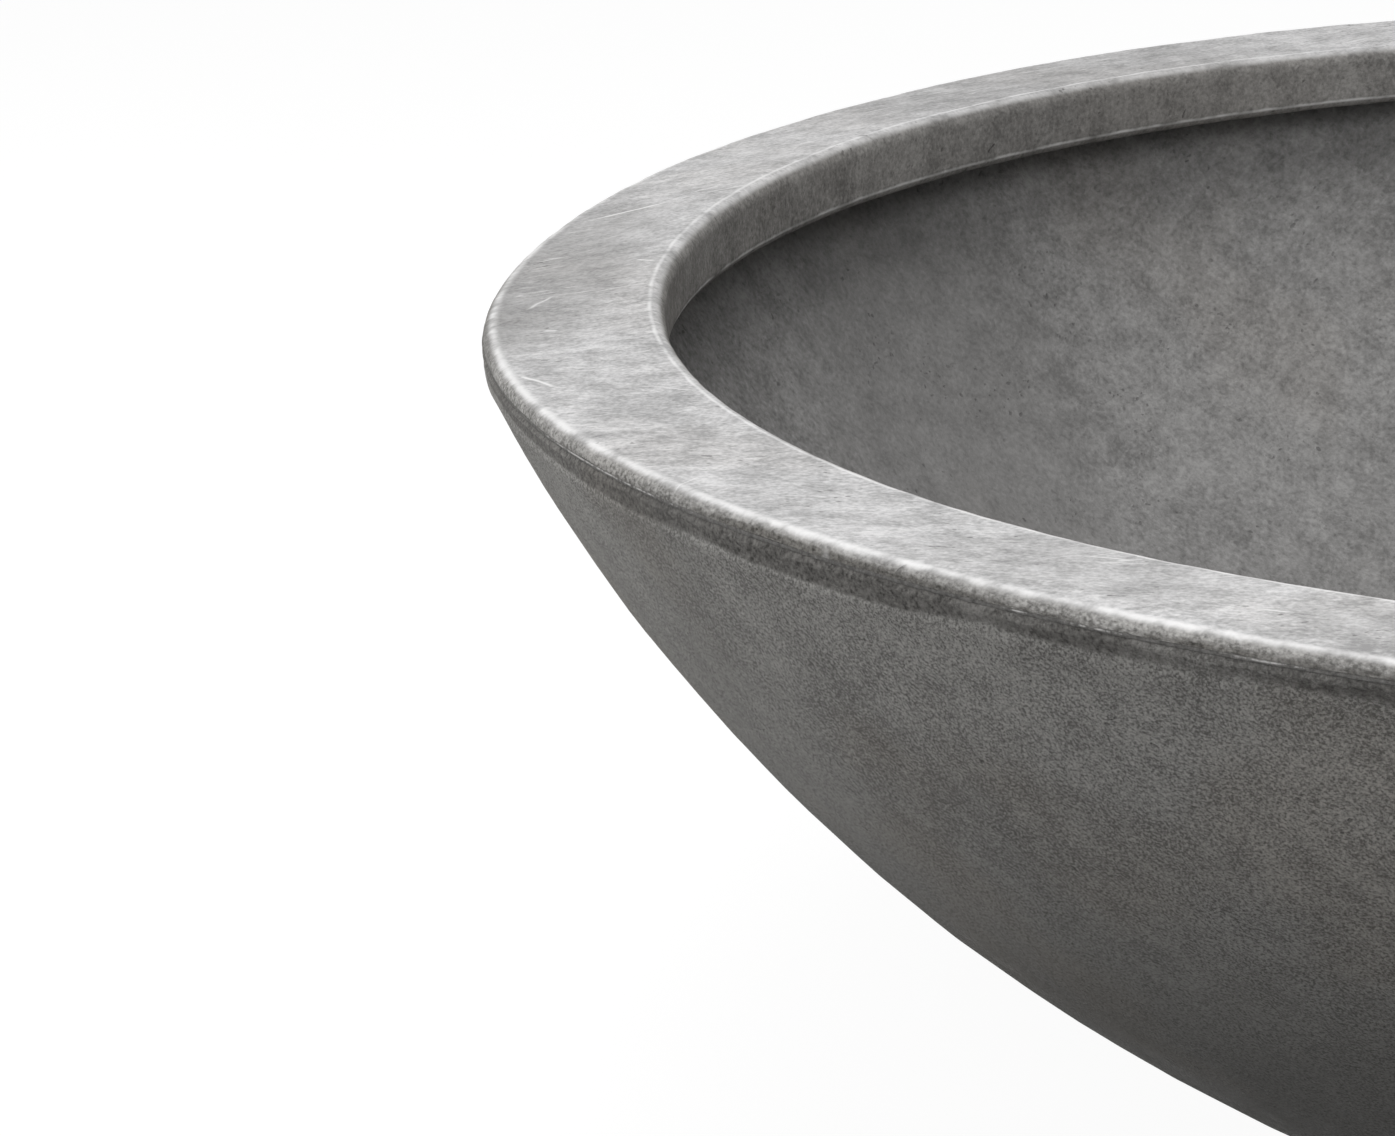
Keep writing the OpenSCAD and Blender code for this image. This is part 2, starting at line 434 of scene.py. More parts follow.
@dataclass(frozen=True)
class Zone:
    """A stretch of the section that was worked in one way: its tones, strokes, grain and relief.

    along and across count the strokes in a metre, and fineness the grains. streaks, grain and
    patches say how much of the tone each of them makes, and scratches how much of the strokes.
    start and end are lengths along the section, soft is how far the ends fade, and wander how far
    they stray. stored names a number on the points that says where the zone lies instead.
    """

    dark: Colour
    pale: Colour
    stroke: Stroke
    along: float
    across: float
    fineness: float
    streaks: float
    grain: float
    relief: float
    patches: float = 0.9
    scratches: float = 0.14
    start: float = -1.0
    end: float = 9.0
    soft: float = 3 * MM
    wander: float = 0.0
    stored: str = ""

    def mask(self, paint: Paint) -> Value:
        """Where the zone lies.

        Args:
            paint: The material.

        Returns:
            1 in the zone and 0 outside it, soft and ragged in between.
        """
        if self.stored:
            ragged = paint.uneven(RAGGED) * 0.7
            return (paint.attribute(self.stored) + ragged).ramp(0.1, 0.75)
        strayed = paint.run + paint.uneven(STRAY) * (4 * self.wander)
        begun = strayed.ramp(self.start - self.soft, self.start + self.soft)
        return begun * strayed.ramp(self.end + self.soft, self.end - self.soft)

    def spread(self, paint: Paint) -> Socket:
        """Places on the surface, counted in strokes.

        Args:
            paint: The material.

        Returns:
            The places, along the strokes and across them.
        """
        if self.stroke is Stroke.SLANTED:
            size = (self.along, self.across, self.across)
            return paint.turned(paint.drift(30.0, 10 * MM), SLANT_TURN, size)
        x, y, z = paint.parts(paint.drift(32.0, 9 * MM))
        if self.stroke is Stroke.DRAWN:
            u, v = trowelled(x, y)
            return paint.joined(u * self.along, v * self.across, z * self.across)
        r = paint.maths("SQRT", x * x + y * y)
        around = self.across * STROKE_R
        return paint.joined(x / r * around, y / r * around, paint.run * self.along)

    def strokes(self, paint: Paint) -> Value:
        """Streaks along the way that the surface was worked, with small pale and dark scratches.

        Args:
            paint: The material.

        Returns:
            The streaks, around a half.
        """
        place = self.spread(paint)
        if self.stroke is Stroke.DRAWN:
            broad = paint.noise(BROAD_STROKES, paint.vector("MULTIPLY", place, (0.35, 0.3, 0.3)))
            streaks = broad * 0.5 + paint.noise(FINE_STROKES, place) * 0.5
        else:
            streaks = paint.noise(STROKES, place)
        specks = paint.noise(SPECKS, paint.vector("MULTIPLY", place, (1.2, 1.6, 1.6)))
        return streaks + (specks.ramp(0.6, 0.72) - specks.ramp(0.4, 0.28)) * self.scratches

    def grains(self, paint: Paint) -> Value:
        """The fine grain, around 0."""
        return paint.uneven(Grain(self.fineness, 2.0, 0.6))

    def surface(self, paint: Paint, clouds: Value, patches: Value) -> tuple[Any, Value]:
        """Works the zone's surface.

        Args:
            paint: The material.
            clouds: The broad unevenness of tone, around 0.
            patches: The smaller unevenness of tone, around 0.

        Returns:
            The colour and the height of the relief.
        """
        grain = self.grains(paint)
        streaks = self.strokes(paint) - 0.5
        tone = 0.5 + clouds + patches * self.patches
        tone = tone + streaks * self.streaks + grain * self.grain
        return paint.mix(tone.clamped(), self.dark, self.pale), (grain + streaks) * self.relief


@dataclass(frozen=True)
class CementFinish:
    """Hand finished cement, matte, clouded and finely grained.

    The first zone lies everywhere and the others over it. worn_and_highlight is the pale tone
    of creases and edges; the edges are partly rubbed wear and partly painted highlights. Each
    of the worn_and_lit_edges is a place along the section, half a width and a depth. warm tints
    the cement here and there, as far as warmth says. clouds and veins say how strong these are.
    shade_by_run says from where to where along the section the tone falls towards black, and how
    far: painted shade.
    """

    name: str
    zones: tuple[Zone, ...]
    worn_and_highlight: Colour
    warm: Colour
    warmth: float
    worn_and_lit_edges: tuple[Triple, ...] = ()
    creases: tuple[Crease, ...] = ()
    dark_patches: tuple[DarkPatch, ...] = ()
    veins: float = 0.0
    clouds: float = 0.8
    shade_by_run: Triple = (0.0, 1.0, 0.0)

    def material(self) -> Material:
        """Builds the finish as a material.

        Returns:
            The material.
        """
        paint = Paint(self.name)
        clouds = paint.uneven(CLOUDS) * self.clouds
        patches = paint.uneven(PATCHES, paint.drift(20.0, 10 * MM))
        colour, height = self.zones[0].surface(paint, clouds, patches)
        for zone in self.zones[1:]:
            here, rise = zone.surface(paint, clouds, patches)
            mask = zone.mask(paint)
            colour = paint.mix(mask, colour, here)
            height = height + (rise - height) * mask
        tint = paint.noise(TINTS, paint.drift(15.0, 20 * MM)).ramp(0.48, 0.66)
        colour = paint.mix(tint * self.warmth, colour, paint.vector("MULTIPLY", colour, self.warm))
        # Painted shade: the tone falls towards black between two lengths along the section.
        first, last, loss = self.shade_by_run
        colour = paint.mix(paint.run.ramp(first, last) * loss, colour, (0.0, 0.0, 0.0))
        x, y, _ = paint.parts(paint.drift(14.0, 30 * MM))
        for dark_patch in self.dark_patches:
            colour = paint.mix(dark_patch.share(x, y), colour, self.zones[0].dark)
        ragged = patches + self.zones[-1].grains(paint) * 0.3
        edge_strength = (0.75 + patches * 3).clamped()
        # Pale bands on the rounded edges: partly rubbed wear, partly painted highlights.
        for centre, half, depth in self.worn_and_lit_edges:
            wear_and_highlight = (paint.run + ragged * half).band(centre, half)
            colour = paint.mix(wear_and_highlight * depth * edge_strength, colour, self.worn_and_highlight)
        marks = self.marks(paint)
        lines = self.lines(paint)
        colour = paint.mix(marks * 0.5, colour, tuple(c * 0.4 for c in self.zones[0].dark))
        colour = paint.mix(lines, colour, self.worn_and_highlight)
        paint.relief(height - marks * 0.3 * MM + lines * 0.2 * MM)
        return paint.finish(colour, 0.75 + patches * 0.4, gloss=DUST)

    def marks(self, paint: Paint) -> Value:
        """Small dark pinholes and ticks, here and there."""
        here = paint.noise(PINHOLED).ramp(0.5, 0.62)
        spots = paint.noise(SPECKS, paint.turned(paint.place, SLANT_TURN, (130, 320, 320)))
        return spots.ramp(0.67, 0.75) * here

    def lines(self, paint: Paint) -> Value:
        """The pale creases and the fine broken veins.

        Args:
            paint: The material.

        Returns:
            How much a line shows, from 0 to 1.
        """
        x, y, _ = paint.parts(paint.drift(60.0, 4 * MM))
        u, v = trowelled(x, y)
        vein = abs(paint.uneven(VEINS, paint.joined(u * 12, v * 50, 0.0))).ramp(0.014, 0.0)
        top = paint.run.ramp(12 * MM, 18 * MM) * paint.run.ramp(78 * MM, 70 * MM)
        total = vein * paint.noise(VEINED).ramp(0.5, 0.62) * top * self.veins
        for crease in self.creases:
            total = paint.maths("MAXIMUM", total, crease.share(x, y))
        return total


@dataclass(frozen=True)
class MortarFinish:
    """Mortar rubbed in flush, which shows as a thin pale line where it stands proud."""

    name: str
    dark: Colour
    flush: Colour
    pale: Colour
    line_at: float = 1.0 * MM
    line_half: float = 0.5 * MM

    def material(self) -> Material:
        """Builds the finish as a material.

        Returns:
            The material.
        """
        paint = Paint(self.name)
        grain = paint.uneven(MORTAR_GRAIN)
        colour = paint.mix((0.4 + grain * 1.8).clamped(), self.dark, self.flush)
        line = paint.run.band(self.line_at, self.line_half)
        shown = (paint.attribute(PROUD) + paint.uneven(BREAKS) * 2).ramp(0.5, 0.9) * line
        paint.relief(grain * 0.3 * MM)
        return paint.finish(paint.mix(shown, colour, self.pale), 0.8 + grain * 0.3, gloss=DUST)


@dataclass(frozen=True)
class PlainFinish:
    """A moulded or rolled surface: plastic, rubber or zinc, with a fine mottle and light marks."""

    name: str
    dark: Colour
    pale: Colour
    rough: float
    spots: float
    relief: float
    metal: float = 0.0

    def material(self) -> Material:
        """Builds the finish as a material.

        Returns:
            The material.
        """
        paint = Paint(self.name)
        mottle = paint.uneven(Grain(self.spots, 3.0, 0.6))
        fine = paint.uneven(Grain(self.spots * 9))
        scuffs = paint.uneven(Grain(), paint.turned(paint.place, (0, 0, 25), (90, 900, 500)))
        tone = (0.5 + mottle + fine * 0.5 + scuffs * 0.4).ramp(0.25, 0.75)
        paint.relief((fine + scuffs * 0.6) * self.relief)
        rough = self.rough + mottle * 0.25
        return paint.finish(paint.mix(tone, self.dark, self.pale), rough, self.metal)


# The noises of the finishes. Those of the strokes are read at places counted in strokes.
CLOUDS = Grain(6.0)
PATCHES = Grain(55.0, 3.0, 0.6)
TINTS = Grain(9.0)
RAGGED = Grain(160.0, 3.0, 0.7)
STRAY = Grain(12.0, 3.0)
STROKES = Grain(1.0, 3.0, 0.7)
BROAD_STROKES = Grain(1.0, 2.0, 0.6)
FINE_STROKES = Grain(1.0, 4.0, 0.7)
SPECKS = Grain(1.0, 1.0)
VEINS = Grain()
PINHOLED = Grain(30.0)
VEINED = Grain(16.0)
MORTAR_GRAIN = Grain(500.0, 3.0, 0.7)
BREAKS = Grain(200.0, 3.0, 0.7)


@dataclass(frozen=True)
class Wave:
    """A slow wave round the bowl, with so many lobes and a crest at an angle in degrees."""

    lobes: int
    height: float
    crest: float

    def at(self, angle: Array) -> Array:
        """The wave's height at angles round the bowl."""
        return self.height * np.cos(self.lobes * (angle - math.radians(self.crest)))


@dataclass(frozen=True)
class Unevenness:
    """How far the hand-made bowl is out of true: an oval and a warp at each edge of the rim."""

    outer_oval: tuple[Wave, ...] = (Wave(1, 1.0 * MM, 0), Wave(2, 4.4 * MM, 118))
    inner_oval: tuple[Wave, ...] = (Wave(2, 5.2 * MM, 99),)
    outer_warp: tuple[Wave, ...] = (
        Wave(1, 0.5 * MM, -90),
        Wave(2, 1.2 * MM, 46),
        Wave(3, 3.4 * MM, 0),
    )
    inner_warp: tuple[Wave, ...] = (Wave(2, 1.0 * MM, 0), Wave(3, 1.3 * MM, 30))
    flat_at: float = 180.0
    flat_half: float = 17.0
    flat_depth: float = 2.2 * MM
    inset: float = 2.8 * MM
    drop: float = 2.6 * MM

    def outer(self, angle: Array) -> tuple[Array, Array]:
        """How far the outer edge stands out and up at angles round the bowl."""
        away = (np.degrees(angle) - self.flat_at) / self.flat_half
        flat = (1 - away * away).clip(0, 1) ** 2 * self.flat_depth
        return self.total(self.outer_oval, angle) - flat, self.total(self.outer_warp, angle)

    def inner(self, angle: Array) -> tuple[Array, Array]:
        """How far the inner edge stands out and up at angles round the bowl."""
        return self.total(self.inner_oval, angle), self.total(self.inner_warp, angle)

    @staticmethod
    def total(waves: tuple[Wave, ...], angle: Array) -> Array:
        """The sum of some waves at angles round the bowl."""
        return sum(w.at(angle) for w in waves)


def eased(share: Array) -> Array:
    """Shares held between 0 and 1, and softened at both ends."""
    held = share.clip(0, 1)
    return held * held * (3 - 2 * held)


def bearings(turns: int) -> Array:
    """Evenly spaced angles round the bowl."""
    return np.arange(turns) * TURN / turns


def lengths(section: Section) -> Array:
    """How far along a section each of its points lies."""
    steps = np.hypot(*np.diff(np.array(section), axis=0).T)
    return np.concatenate([[0.0], np.cumsum(steps)])


def arc(centre: Spot, radius: float, first: float, last: float, step: float) -> Section:
    """Points of an arc.

    Args:
        centre: The arc's centre.
        radius: The arc's radius.
        first: The angle at its start, in degrees.
        last: The angle at its end, in degrees.
        step: The longest step between two points.

    Returns:
        The points, ends included.
    """
    count = max(3, math.ceil(radius * abs(math.radians(last - first)) / step))
    angles = np.radians(np.linspace(first, last, count + 1))
    return [(centre[0] + radius * math.cos(a), centre[1] + radius * math.sin(a)) for a in angles]


def straight(start: Spot, end: Spot, step: float) -> Section:
    """Points between two places, without the places themselves.

    Args:
        start: The first place.
        end: The last place.
        step: The longest step between two points.

    Returns:
        The points in between.
    """
    count = max(1, math.ceil(math.dist(start, end) / step))
    shares = [i / count for i in range(1, count)]
    return [tuple(a + (b - a) * t for a, b in zip(start, end)) for t in shares]


def bend(start: Spot, towards: Spot, end: Spot, count: int) -> Section:
    """Points of a soft bend between two places, without the places themselves.

    Args:
        start: The first place.
        towards: The place that the bend is drawn to.
        end: The last place.
        count: How many steps the bend has.

    Returns:
        The points in between.
    """
    ends = list(zip(start, towards, end))
    return [
        tuple((1 - t) ** 2 * a + 2 * t * (1 - t) * b + t * t * c for a, b, c in ends)
        for t in [i / count for i in range(1, count)]
    ]


def wall_arc(top: Spot, foot: Spot, lean: float, short: float, count: int) -> Section:
    """Points down a wall that leaves its top at a lean and curves in to its foot.

    Args:
        top: Where the wall starts.
        foot: Where its curve is aimed.
        lean: The lean from upright at the top, in radians.
        short: How far along the curve it stops before the foot.
        count: How many steps it has.

    Returns:
        The points, both ends included.
    """
    across = Vector((-math.cos(lean), math.sin(lean)))
    line = Vector(foot) - Vector(top)
    radius = line.length_squared / (2 * line.dot(across))
    centre = Vector(top) + radius * across
    first = math.atan2(top[1] - centre.y, top[0] - centre.x)
    last = math.atan2(foot[1] - centre.y, foot[0] - centre.x) + short / radius
    angles = np.linspace(first, last, count + 1)
    return [(centre.x + radius * math.cos(a), centre.y + radius * math.sin(a)) for a in angles]


def joint_shading(
    joint_shades: tuple[Triple, ...], section: Section, angles: Array, soft: float = 3 * MM
) -> Array:
    """How dark the painted shade is in a band along the joint, under the rim's overhang.

    Args:
        joint_shades: Angles in degrees, in order, and the band's width in mm and depth there.
        section: The section, from the joint on.
        angles: The angles round the bowl.
        soft: How far the band's edge fades.

    Returns:
        The depth, from 0 to 1, by angle and then by point of the section.
    """
    turned = np.degrees(angles)
    places, widths, depths = np.array(joint_shades).T
    width = np.interp(turned, places, widths * MM, period=360)[:, None]
    depth = np.interp(turned, places, depths, period=360)[:, None]
    return depth * eased((width - lengths(section)[None, :]) / soft + 0.5)


@dataclass(frozen=True)
class Lumps:
    """Soft lumps left by the hand: how many a metre holds, their finer layers and their height.

    shift moves the pattern, so that two layers differ.
    """

    spots: float
    octaves: int
    height: float
    shift: float = 0.0

    def at(self, places: Array) -> Array:
        """The heights at places in space, one row each."""
        scaled = (places + self.shift) * self.spots
        soft = [noise.fractal(Vector(p), 1.0, 2.1, self.octaves) for p in scaled]
        return np.array(soft) * self.height


def skin(name: str, section: Section, grid: Array, stored: dict[str, Array]) -> Object:
    """A piece made of one closed section swept round the bowl.

    Args:
        name: The piece's name.
        section: The section as it was drawn, for the length along it.
        grid: The places, by angle and then by point of the section.
        stored: More numbers to store on the points, by angle and point of the section.

    Returns:
        The piece, with the length along the section stored on its points.
    """
    turns, points = grid.shape[:2]
    here = np.arange(turns)[:, None] * points
    there = (np.arange(turns)[:, None] + 1) % turns * points
    i = np.arange(points)[None, :]
    j = (i + 1) % points
    faces = np.stack([here + i, here + j, there + j, there + i], 2).reshape(-1, 4)
    mesh = bpy.data.meshes.new(name)
    mesh.from_pydata(grid.reshape(-1, 3).tolist(), [], faces.tolist())
    run = np.tile(lengths(section), (turns, 1))
    for key, numbers in {RUN: run, **stored}.items():
        place = mesh.attributes.new(key, "FLOAT", "POINT")
        place.data.foreach_set("value", numbers.ravel().astype(np.float32))
    mesh.shade_smooth()
    mesh.set_sharp_from_angle(angle=SHARP_ANGLE)
    piece = bpy.data.objects.new(name, mesh)
    bpy.context.scene.collection.objects.link(piece)
    return piece


def swept(radii: Array, heights: Array, angles: Array) -> Array:
    """Places from radii and heights by angle and point of the section."""
    across = np.cos(angles)[:, None], np.sin(angles)[:, None]
    return np.stack([radii * across[0], radii * across[1], heights], 2)


def pressed(grid: Array, lumps: tuple[Lumps, ...], share: Any = 1.0) -> Array:
    """Presses a swept surface in by its lumps.

    Args:
        grid: The places, by angle and then by point of the section.
        lumps: The layers of lumps.
        share: How much of the lumps each point of the section has, one row each.

    Returns:
        The places once they are pressed in.
    """
    along = np.roll(grid, -1, 1) - np.roll(grid, 1, 1)
    around = np.roll(grid, -1, 0) - np.roll(grid, 1, 0)
    square = np.cross(around, along)
    outward = square / np.linalg.norm(square, axis=2, keepdims=True).clip(1e-12)
    depth = np.abs(sum(layer.at(grid.reshape(-1, 3)) for layer in lumps))
    return grid - outward * depth.reshape(grid.shape[:2] + (1,)) * share


@dataclass
class Rim:
    """The wide flat rim: rolled edge, falling top, lip and apron, bedded on the shell."""

    outer_r: float = field(init=False)
    top_z: float = field(init=False)
    hand: Unevenness = Unevenness()
    width: float = 76 * MM
    fall: float = 2.5 * MM
    edge_r: float = 5.8 * MM
    lip_r: float = 7 * MM
    flange_t: float = 16 * MM
    apron_h: float = 30 * MM
    apron_t: float = 18 * MM
    apron_edge_r: float = 6 * MM
    fillet_r: float = 8 * MM
    proud: float = 0.6 * MM
    step_r: float = 589.3 * MM
    step_slope: float = 3.1 * MM
    hoop_r: float = 599.46 * MM
    groove_r: float = 3.2 * MM
    mortar_t: float = 1.5 * MM
    round_step: float = 1.2 * MM
    top_step: float = 2.6 * MM
    face_step: float = 2.4 * MM
    under_step: float = 6 * MM
    turns: int = 1080
    lumps: tuple[Lumps, ...] = (Lumps(14.0, 3, 0.4 * MM), Lumps(50.0, 3, 0.2 * MM, 5.0))
    # Painted shade low on the rolled edge above the joint: angle in degrees, width in mm, depth.
    joint_shades: tuple[Triple, ...] = (
        (30, 2, 0.4), (80, 4, 0.8), (120, 2, 0.3), (190, 2, 0.3), (210, 2, 0.3),
        (220, 1.2, 0.5), (224, 2, 0.4), (229, 3.2, 0.8), (234, 3, 0.7), (240, 2.2, 0.6),
        (245, 1.5, 0.4), (248, 2.5, 0.6), (254, 2.5, 0.5), (280, 4, 0.7), (320, 2, 0.4),
    )

    def __post_init__(self) -> None:
        """Takes the outside and the height from the frame."""
        self.outer_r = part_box("joint_mortar")[1].x
        self.top_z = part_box("rim_ring")[1].z

    @property
    def bed_z(self) -> float:
        """Height of the face that lies on the mortar."""
        return self.top_z - self.fall - self.edge_r

    @property
    def hoop_at(self) -> Spot:
        """The middle of the hoop's rod in the section."""
        return self.hoop_r, self.bed_z - self.mortar_t / 2

    def section(self) -> Section:
        """Draws the rim's half section, from the joint over the top and down the apron.

        Returns:
            The closed section's points.
        """
        out_r = self.outer_r - self.proud
        in_r = self.outer_r - self.width
        back_r = in_r + self.apron_t
        flange_z = self.top_z - self.flange_t
        apron_z = self.top_z - self.apron_h
        foot_z = apron_z + self.apron_edge_r
        fine = self.round_step
        edge = arc((out_r - self.edge_r, self.bed_z), self.edge_r, 0, 90, fine)
        lip = arc((in_r + self.lip_r, self.top_z - self.lip_r), self.lip_r, 90, 180, fine)
        foot = arc((in_r + self.apron_edge_r, foot_z), self.apron_edge_r, 180, 270, fine)
        back = arc((back_r - self.apron_edge_r, foot_z), self.apron_edge_r, 270, 360, 2 * fine)
        hollow_z = flange_z - self.fillet_r
        hollow = arc((back_r + self.fillet_r, hollow_z), self.fillet_r, 180, 90, 2 * fine)
        groove = arc(self.hoop_at, self.groove_r, 166, 14, 3 * fine)
        step = [(self.step_r - self.step_slope, flange_z), (self.step_r, self.bed_z)]
        top = straight(edge[-1], lip[0], self.top_step)
        face = straight(lip[-1], foot[0], self.face_step)
        under = straight(hollow[-1], step[0], self.under_step)
        return edge + top + lip + face + foot + back + hollow + under + step + groove

    def ring(self, section: Section, angles: Array) -> tuple[Array, Array]:
        """Radii and heights of a section swept at the rim, once the bowl is out of true.

        Args:
            section: The section as it was drawn.
            angles: The angles round the bowl.

        Returns:
            The radii and the heights, by angle and then by point of the section.
        """
        drawn = np.array(section)
        share = eased((self.outer_r - drawn[:, 0]) / self.width)
        low = ((self.top_z - drawn[:, 1]) / self.apron_h).clip(0, 1) * (share > 0.5)
        out_r, out_z = (w[:, None] for w in self.hand.outer(angles))
        in_r, in_z = (w[:, None] for w in self.hand.inner(angles))
        radii = drawn[:, 0] - self.hand.inset + out_r * (1 - share) + in_r * share
        heights = drawn[:, 1] - self.hand.drop + out_z * (1 - share) + in_z * share * (1 - low)
        return radii, heights

    def build(self) -> Object:
        """Sweeps the section, pushes it out of true and works its surface.

        Returns:
            The rim.
        """
        section = self.section()
        angles = bearings(self.turns)
        grid = pressed(swept(*self.ring(section, angles), angles), self.lumps)
        rim = skin("rim_casting", section, grid, {JOINT_SHADE: joint_shading(self.joint_shades, section, angles)})
        rim.data.materials.append(RIM_CEMENT.material())
        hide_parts("rim_ring")
        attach(rim, "planter")
        return rim


@dataclass
class Shell:
    """The cast bowl under the rim: cove, curved wall, foot, floor and the seat of the drain."""

    rim: Rim
    wall_t: float = 16 * MM
    lean: float = math.radians(25.7)
    wall_inset: float = 5.5 * MM
    cove_h: float = 7 * MM
    foot_r: float = 200 * MM
    foot_z: float = 6 * MM
    foot_edge_h: float = 4 * MM
    foot_chamfer: float = 2.5 * MM
    ring_w: float = 52 * MM
    recess: float = 6 * MM
    floor_t: float = 28 * MM
    floor_inset: float = 14 * MM
    floor_fall: float = 3 * MM
    floor_blend: float = 45 * MM
    gap: float = 0.4 * MM
    sleeve_flange_w: float = 11 * MM
    sleeve_flange_t: float = 3 * MM
    foot_fade: float = 0.25
    cove_steps: int = 8
    outside_steps: int = 46
    inside_steps: int = 42
    corner_steps: int = 6
    floor_step: float = 12 * MM
    groove_step: float = 4 * MM
    turns: int = 720
    lumps: tuple[Lumps, ...] = (Lumps(9.0, 3, 0.9 * MM), Lumps(40.0, 2, 0.3 * MM, 3.0))
    # Painted shade in the cove under the rim's overhang: angle in degrees, width in mm, depth.
    joint_shades: tuple[Triple, ...] = (
        (20, 6, 0.7), (60, 9, 0.9), (95, 5, 0.4), (140, 8, 0.8), (175, 5, 0.6),
        (205, 5, 0.9), (221, 7, 1.0), (225, 6, 0.65), (229, 7, 1.0), (236, 7, 1.0),
        (240, 5, 0.5), (244, 6, 0.7), (248, 6, 0.35), (252, 6, 0.5), (255, 7, 0.5),
        (270, 9, 0.8), (310, 5, 0.5), (340, 8, 0.9),
    )

    def section(self) -> tuple[Section, int]:
        """Draws the shell's half section, from the joint down the outside and back up the inside.

        Returns:
            The closed section's points, and how many of them lie outside and underneath.
        """
        sleeve_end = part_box("drain_sleeve")[1]
        flange_r = sleeve_end.x + self.gap
        drain_z = sleeve_end.z
        tube_r = flange_r - self.sleeve_flange_w
        seat_z = drain_z - self.sleeve_flange_t
        top_z = self.rim.bed_z - self.rim.mortar_t
        top_r = self.rim.outer_r - 2 * self.rim.proud
        start = (self.rim.outer_r - self.wall_inset, top_z - self.cove_h)
        in_r = start[0] + self.cove_h * math.tan(self.lean) - self.wall_t / math.cos(self.lean)
        floor_z = self.foot_z + self.floor_t
        floor_r = self.foot_r - self.floor_inset
        recess_z = self.foot_z + self.recess
        recess_r = self.foot_r - self.ring_w
        cove_top = (top_r, top_z - self.rim.mortar_t)
        rise = self.cove_h / 3
        cove_aim = (start[0] + rise * math.tan(self.lean), start[1] + rise)
        cove = bend(cove_top, cove_aim, start, self.cove_steps)
        foot_top = (self.foot_r, self.foot_z + self.foot_edge_h)
        outside = wall_arc(start, foot_top, self.lean, 0, self.outside_steps)
        floor_end = (floor_r, floor_z)
        in_top = (in_r, top_z)
        inside = wall_arc(in_top, floor_end, self.lean, self.floor_blend, self.inside_steps)
        slope = self.floor_fall / (floor_r - flange_r)
        floor_in = (floor_r - self.floor_blend, floor_z - slope * self.floor_blend)
        foot = [(self.foot_r, self.foot_z + self.foot_chamfer)]
        foot += [(self.foot_r - self.foot_chamfer, self.foot_z), (recess_r, self.foot_z)]
        hollow = [(recess_r - self.recess, recess_z), (tube_r, recess_z), (tube_r, seat_z)]
        seat = [(flange_r, seat_z), (flange_r, drain_z)]
        floor = straight(seat[-1], floor_in, self.floor_step) + [floor_in]
        corner = bend(floor_in, floor_end, inside[-1], self.corner_steps)
        groove = arc(self.rim.hoop_at, self.rim.groove_r, 194, 346, self.groove_step)
        outer_part = [(top_r, top_z), cove_top] + cove + outside + foot + hollow + seat
        inner_part = floor + corner + inside[::-1] + groove
        return outer_part + inner_part, len(outer_part)

    def build(self) -> Object:
        """Sweeps the section and pushes it out of true.

        Returns:
            The shell.
        """
        section, outside = self.section()
        drawn = np.array(section)
        angles = bearings(self.turns)
        top_z = self.rim.bed_z - self.rim.mortar_t
        follow = ((drawn[:, 1] - (top_z - self.cove_h)) / self.cove_h).clip(0, 1)
        height = ((drawn[:, 1] - self.foot_z) / (top_z - self.foot_z)).clip(0, 1)
        hand = self.rim.hand
        out_r, out_z = (w[:, None] for w in hand.outer(angles))
        radii = drawn[:, 0] - hand.inset * height + out_r * follow
        heights = drawn[:, 1] - hand.drop * height + out_z * follow
        free = (height / self.foot_fade).clip(0, 1)[:, None]
        grid = pressed(swept(radii, heights, angles), self.lumps, free)
        shell = skin("shell_casting", section, grid, {JOINT_SHADE: joint_shading(self.joint_shades, section, angles)})
        shell.data.materials.append(OUTSIDE_CEMENT.material())
        shell.data.materials.append(INSIDE_CEMENT.material())
        within = np.tile(np.arange(len(section)) >= outside, self.turns)
        shell.data.polygons.foreach_set("material_index", within.astype(np.int32))
        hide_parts("bowl_shell")
        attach(shell, "planter")
        return shell


